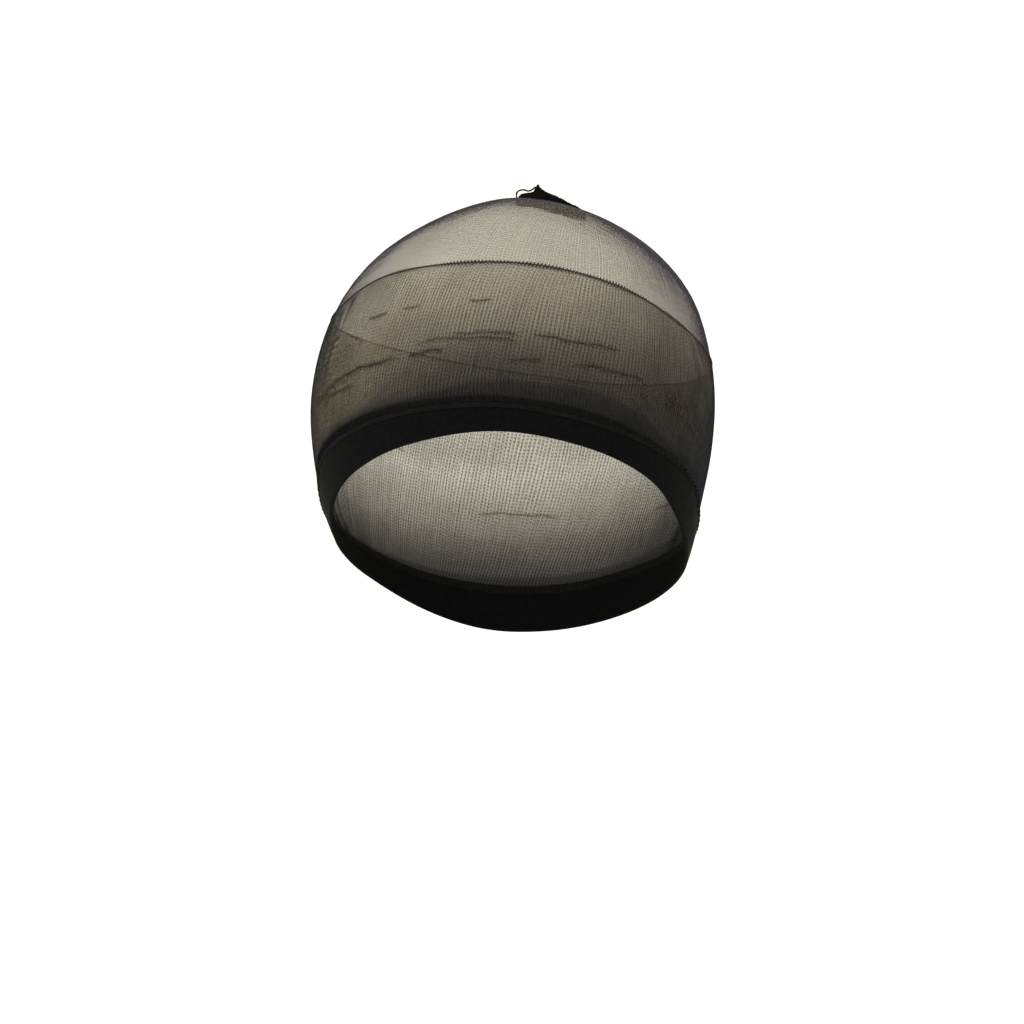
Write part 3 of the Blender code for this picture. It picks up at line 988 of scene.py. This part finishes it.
def transfer_cord(material):
    """Plain cord under the dense course's beads."""
    turn = turns_round(CORD_COLUMNS)
    behind = np.maximum(-np.cos(np.radians(turn - BEAD_FRONT)), 0.0)
    radii = CORD_RADIUS * (1 - CORD_THIN * behind)
    polar = line_angle("transfer", turn)
    return ring_cord("transfer_cord", turn, polar, CORD_DEPTH, radii, CORD_SIDES, material)


def crease_points(crease):
    """Rows of points across one crease's ribbon, and how dark each row's painted shade is."""
    length = crease.end_turn - crease.turn
    share = np.linspace(0, 1, CREASE_STEPS + int(length))
    turn = crease.turn + length * share
    ripple = sum(wave.reach * np.sin(np.radians(turn * wave.count + wave.start)) for wave in CREASE_RIPPLES)
    straight = crease.polar + (crease.end_polar - crease.polar) * share
    polar = straight + crease.bow * 4 * share * (1 - share) + ripple
    taper = np.minimum(1.0, np.minimum(share, 1 - share) * CREASE_TAPER) ** CREASE_BLUNTNESS
    middle = on_form(turn, polar, 0.0)
    out = outward(turn, polar)
    beside = unit(np.cross(out, np.gradient(middle, axis=0)))
    aside = CREASE_ACROSS * (crease.half * (0.5 + 0.5 * taper))[:, None]
    height = CREASE_EDGE + CREASE_BULGE * taper[:, None] * (1 - CREASE_ACROSS**2)
    points = middle[:, None] + beside[:, None] * aside[..., None] + out[:, None] * height[..., None]
    return points, crease.dark * taper


def welt_creases_painted_shade(material):
    """Narrow raised ribbons where courses of the knit are pulled together, darkened with painted shade."""
    verts, faces, uvs, shades = [], [], [], []
    for crease in CREASES:
        points, darks = crease_points(crease)
        here, corners = grid_faces(len(points), len(CREASE_ACROSS), False)
        faces.append(here + sum(len(part) for part in verts))
        verts.append(points.reshape(-1, 3))
        uvs.append(corners)
        shades.append(np.repeat(darks, len(CREASE_ACROSS)))
    verts, faces, uvs, shades = (np.concatenate(parts) for parts in (verts, faces, uvs, shades))
    obj = piece_from("welt_creases_painted_shade", verts, faces, uvs, material)
    add_attribute(obj, "shade", shades)
    return obj


# Band, seam and closure

def section_columns(table):
    """Shares across and rises of a cross section, each as a column of rings."""
    return (np.array([getattr(ring, name) for ring in table])[:, None] for name in ("share", "rise"))


def elastic_band(material):
    """Satin band with rounded edges, slightly puckered beside the seam."""
    share, rise = section_columns(BAND_SECTION)
    turn = np.tile(turns_round(BAND_COLUMNS), (len(BAND_SECTION), 1))
    start = line_angle("seam", turn) + angle_of(SEAM_RIDGE_WIDTH / 2)
    end = line_angle("rim", turn)
    ripple = BAND_RIPPLE * np.sin(np.radians(turn) * BAND_RIPPLES) * np.exp(-share / BAND_RIPPLE_REACH)
    points = on_form(turn, start + (end - start) * share, rise + np.where(rise > 0, ripple, 0))
    return ring_sheet("satin_band", points, material)


def seam_strip(material):
    """Flat strip of knit under the seam's threads."""
    share, rise = section_columns(SEAM_SECTION)
    turn = np.tile(turns_round(BAND_COLUMNS), (len(SEAM_SECTION), 1))
    start = line_angle("seam_top", turn)
    end = line_angle("seam", turn) + angle_of(SEAM_RIDGE_WIDTH / 2)
    return ring_sheet("seam_strip", on_form(turn, start + (end - start) * share, rise), material)


def seam_ridge(material):
    """Wavy cord of overlocked thread along the seam."""
    turn = turns_round(RIDGE_COLUMNS)
    angle = np.radians(turn)
    sway = RIDGE_SWAY * np.sin(angle * RIDGE_WAVES)
    drift = RIDGE_DRIFT * np.sin(angle * RIDGE_DRIFT_WAVES + RIDGE_DRIFT_START)
    polar = line_angle("seam", turn) + sway + drift
    rise = RIDGE_RISE + RIDGE_LIFT * np.cos(angle * RIDGE_WAVES)
    radii = RIDGE_RADIUS + RIDGE_SWELL * np.sin(angle * 2 * RIDGE_WAVES)
    return ring_cord("seam_ridge", turn, polar, rise, radii, RIDGE_SIDES, material)


def seam_loops(material):
    """Slanted overlock threads over the cut edge."""
    turn = turns_round(LOOPS * LOOP_STEPS)
    phase = np.arange(len(turn)) % LOOP_STEPS / LOOP_STEPS
    zigzag = np.abs(2 * phase - 1)
    start, end = line_angle("seam_top", turn), line_angle("seam", turn)
    polar = start + (end - start) * (LOOP_START + LOOP_SPAN * zigzag)
    rise = LOOP_RISE + LOOP_LIFT * np.sin(math.pi * zigzag)
    radii = np.full(len(turn), LOOP_RADIUS)
    return ring_cord("seam_loops", turn, polar, rise, radii, LOOP_SIDES, material)


def closure_tuft(material):
    """The gathered end of the knit: a flat, pleated tuft that leans forward."""
    along, low, high, half = smooth_rows(CLOSURE, ("along", "low", "high", "half"), TUFT_STEPS)
    half = np.maximum(half, TUFT_THINNEST)
    angle = math.tau * np.arange(TUFT_SIDES) / TUFT_SIDES
    middle, tall = 0.5 * (low + high)[:, None], 0.5 * (high - low)[:, None]
    winding = PLEAT_SWAY * np.sin(along[:, None] * PLEAT_SWAY_PACE)
    pleat = PLEAT_DEPTH * np.cos(PLEATS * angle[None] + winding)
    pleat = pleat + WRINKLE_DEPTH * np.sin(along[:, None] * WRINKLE_PACE + WRINKLE_TWIST * angle[None])
    fade = np.minimum(1.0, tall / PLEAT_FULL_HEIGHT)
    height = middle + (tall + pleat * fade) * np.sin(angle)
    rounded = np.sign(np.cos(angle)) * np.abs(np.cos(angle)) ** TUFT_ROUNDNESS
    across = (half[:, None] + pleat * fade) * rounded
    verts = in_closure_frame(np.broadcast_to(along[:, None], height.shape), height, across)
    faces, uvs = grid_faces(TUFT_STEPS, TUFT_SIDES, True)
    return piece_from("gathered_tuft", verts, faces, uvs, material)


def thread_loop(material):
    """Two plies of sewing thread, twisted round each other."""
    along, height = smooth_rows(THREAD, ("along", "height"), THREAD_STEPS)
    middle = in_closure_frame(along, height)
    ahead = unit(np.gradient(middle, axis=0))
    out = np.broadcast_to(ACROSS, middle.shape)
    side = unit(np.cross(ahead, out))
    twist = np.linspace(0, math.tau * THREAD_TWISTS, len(along))[:, None]
    offset = PLY_OFFSET * THREAD_RADIUS * (out * np.cos(twist) + side * np.sin(twist))
    centres = np.stack((middle + offset, middle - offset))
    radii = np.full(centres.shape[:2], PLY_RADIUS * THREAD_RADIUS)
    outs = np.broadcast_to(ACROSS, centres.shape)
    return tubes("sewn_thread", centres, outs, radii, PLY_SIDES, material)


# The whole cap

def place_on(piece, slot, *nodes):
    """A piece tied to the cap's body, with the nodes that it replaces hidden. Its material slot is not
    used.
    """
    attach(piece, "root")
    if nodes:
        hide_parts(*nodes)
    return piece


def main():
    add_camera()
    add_studio()

    single = knit_film("single_knit", SINGLE_TONES, lines=0.07, dots=0.10, mottle=0.30, sheen=0.12)
    doubled = knit_film("doubled_knit", DOUBLE_TONES, lines=0.15, dots=0.45, mottle=0.90, sheen=0.04)
    # the creases' material is painted shade over the pulled courses
    crease = crease_painted_shade_look("knit_crease_painted_shade")
    yarns = {name: strand(name, yarn) for name, yarn in YARNS.items()}
    welt_yarn_painted_sheen, black_knit = yarns["welt_yarn_painted_sheen"], yarns["gathered_knit"]

    crown = place_on(crown_film(single), "single_knit", "sheer_crown")
    # the crown's legs and courses carry the knit yarn's painted sheen
    crown_lines = place_on(crown_wales(yarns["knit_yarn_painted_sheen"]), "single_knit")
    crown_rings = place_on(crown_courses(yarns["knit_yarn_painted_sheen"]), "single_knit")
    welt = place_on(welt_film(doubled), "doubled_knit", "double_welt")
    outer_turns, inner_turns = leg_turns(WELT_LEG_SPREAD), turns_round(WALES)
    outer = welt_wales("welt_wales", "outer", WELT_DEPTH, 0.0, outer_turns, welt_yarn_painted_sheen)
    place_on(outer, "doubled_knit")
    inner = welt_wales("inner_wales", "inner", WELT_INNER_DEPTH, INNER_LEAN, inner_turns, welt_yarn_painted_sheen)
    place_on(inner, "doubled_knit")
    beads = place_on(transfer_beads(yarns["dense_course"]), "dense_course", "transfer_course")
    cord = place_on(transfer_cord(yarns["dense_course"]), "dense_course")
    creases = place_on(welt_creases_painted_shade(crease), "doubled_knit")
    band = place_on(elastic_band(yarns["elastic"]), "elastic", "elastic_band")
    strip = place_on(seam_strip(black_knit), "seam_thread", "band_seam")
    ridge = place_on(seam_ridge(yarns["seam_thread"]), "seam_thread")
    loops = place_on(seam_loops(yarns["seam_thread"]), "seam_thread")
    tuft = place_on(closure_tuft(black_knit), "gathered_knit", "crown_closure")
    thread = place_on(thread_loop(yarns["sewing_thread"]), "sewing_thread", "thread_loop")


main()
